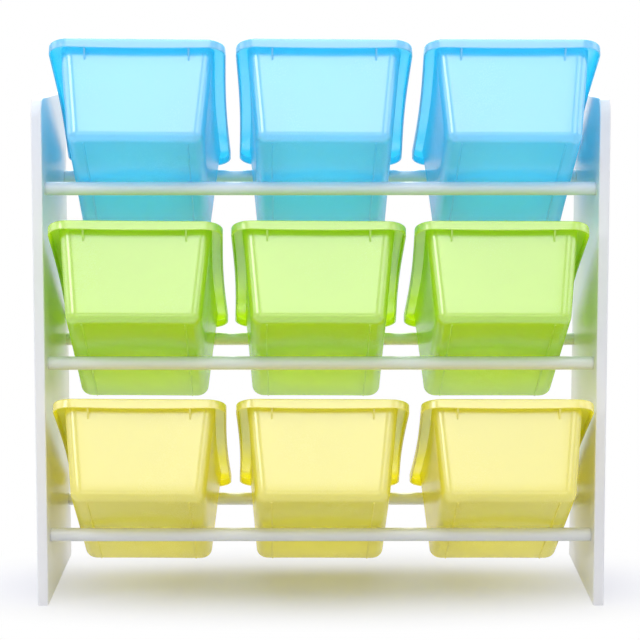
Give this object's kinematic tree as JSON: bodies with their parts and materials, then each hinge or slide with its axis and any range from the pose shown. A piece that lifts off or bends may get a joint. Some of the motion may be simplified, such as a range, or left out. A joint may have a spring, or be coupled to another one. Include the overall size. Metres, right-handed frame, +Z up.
{
  "type": "toy storage organizer with bins",
  "caption": "Free-standing rack of board sides and round rails that holds tilted, open, lift-out plastic bins for toys.",
  "frame": {"origin": "on the floor, in the middle of the overall bounding box", "axes": "+Z up; +Y towards the front, where the bins' mouths face and their low ends are; +X to the right as seen from the rear, which is the side that the picture shows"},
  "size_m": [0.6374, 0.2994, 0.6334],
  "materials": {
    "white_painted_board": "satin white paint on medium-density board",
    "white_painted_tube": "gloss white powder coat on steel tube",
    "sky_blue_plastic": "translucent moulded polypropylene, sky blue, soft gloss",
    "lime_green_plastic": "translucent moulded polypropylene, lime green, soft gloss",
    "lemon_yellow_plastic": "translucent moulded polypropylene, lemon yellow, soft gloss",
    "grey_plastic": "moulded grey nylon",
    "zinc_steel": "bright zinc plate",
    "white_plastic": "moulded white plastic"
  },
  "bodies": {
    "rack": {"left_side_panel": "white_painted_board", "left_rail_end_plugs": "grey_plastic", "left_rail_bolts": "zinc_steel", "left_bolt_caps": "white_plastic", "right_side_panel": "white_painted_board", "right_rail_end_plugs": "grey_plastic", "right_rail_bolts": "zinc_steel", "right_bolt_caps": "white_plastic", "bottom_rear_rail": "white_painted_tube", "bottom_front_rail": "white_painted_tube", "middle_rear_rail": "white_painted_tube", "middle_front_rail": "white_painted_tube", "top_rear_rail": "white_painted_tube", "top_front_rail": "white_painted_tube"},
    "top_left_bin": {"top_left_bin": "sky_blue_plastic"},
    "top_centre_bin": {"top_centre_bin": "sky_blue_plastic"},
    "top_right_bin": {"top_right_bin": "sky_blue_plastic"},
    "middle_left_bin": {"middle_left_bin": "lime_green_plastic"},
    "middle_centre_bin": {"middle_centre_bin": "lime_green_plastic"},
    "middle_right_bin": {"middle_right_bin": "lime_green_plastic"},
    "bottom_left_bin": {"bottom_left_bin": "lemon_yellow_plastic"},
    "bottom_centre_bin": {"bottom_centre_bin": "lemon_yellow_plastic"},
    "bottom_right_bin": {"bottom_right_bin": "lemon_yellow_plastic"}
  },
  "joints": [
    {"name": "top_left_bin_draw", "type": "slide", "parent": "rack", "child": "top_left_bin", "axis": [0.0175, -0.8803, 0.474], "range_m": [0, 0.3]},
    {"name": "top_centre_bin_draw", "type": "slide", "parent": "rack", "child": "top_centre_bin", "axis": [0.0122, -0.8804, 0.4741], "range_m": [0, 0.3]},
    {"name": "top_right_bin_draw", "type": "slide", "parent": "rack", "child": "top_right_bin", "axis": [0.0052, -0.8805, 0.4741], "range_m": [0, 0.3]},
    {"name": "middle_left_bin_draw", "type": "slide", "parent": "rack", "child": "middle_left_bin", "axis": [0.0175, -0.8803, 0.474], "range_m": [0, 0.3]},
    {"name": "middle_centre_bin_draw", "type": "slide", "parent": "rack", "child": "middle_centre_bin", "axis": [0.0122, -0.8804, 0.4741], "range_m": [0, 0.3]},
    {"name": "middle_right_bin_draw", "type": "slide", "parent": "rack", "child": "middle_right_bin", "axis": [0.0052, -0.8805, 0.4741], "range_m": [0, 0.3]},
    {"name": "bottom_left_bin_draw", "type": "slide", "parent": "rack", "child": "bottom_left_bin", "axis": [0.0175, -0.8803, 0.474], "range_m": [0, 0.3]},
    {"name": "bottom_centre_bin_draw", "type": "slide", "parent": "rack", "child": "bottom_centre_bin", "axis": [0.0122, -0.8804, 0.4741], "range_m": [0, 0.3]},
    {"name": "bottom_right_bin_draw", "type": "slide", "parent": "rack", "child": "bottom_right_bin", "axis": [0.0052, -0.8805, 0.4741], "range_m": [0, 0.3]}
  ]
}
